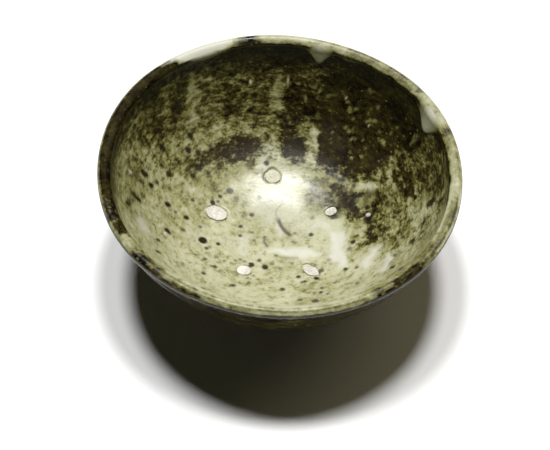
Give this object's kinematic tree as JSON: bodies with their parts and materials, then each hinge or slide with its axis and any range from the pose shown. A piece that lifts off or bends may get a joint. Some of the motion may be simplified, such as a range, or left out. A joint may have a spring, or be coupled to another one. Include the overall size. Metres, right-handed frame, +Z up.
{
  "type": "tea bowl",
  "caption": "Wheel-thrown stoneware tea bowl with a flared, slightly out-of-round lip, a turned foot ring and a speckled ash glaze with bare spur scars.",
  "frame": {"origin": "centre of the foot ring's flat base, which is also the centre of the bounding box's bottom", "axes": "+Z up through the bowl's mouth, -Y towards the side nearest the camera in the picture"},
  "size_m": [0.1506, 0.1499, 0.0651],
  "materials": {
    "fired_clay": "unglazed stoneware, matte",
    "foot_clay": "unglazed stoneware, matte",
    "outer_ash_glaze": "dark glossy glaze",
    "rim_ash_glaze": "glossy glaze",
    "inner_ash_glaze": "glossy glaze",
    "spur_wad": "rough fired clay"
  },
  "bodies": {
    "root": {"clay_body": "fired_clay", "foot_ring": "foot_clay", "outer_glaze": "outer_ash_glaze", "rim_glaze": "rim_ash_glaze", "inner_glaze": "inner_ash_glaze", "spur_scar_left": "spur_wad", "spur_scar_front_left": "spur_wad", "spur_scar_front_right": "spur_wad", "spur_scar_right": "spur_wad", "spur_scar_back": "spur_wad"}
  },
  "joints": []
}
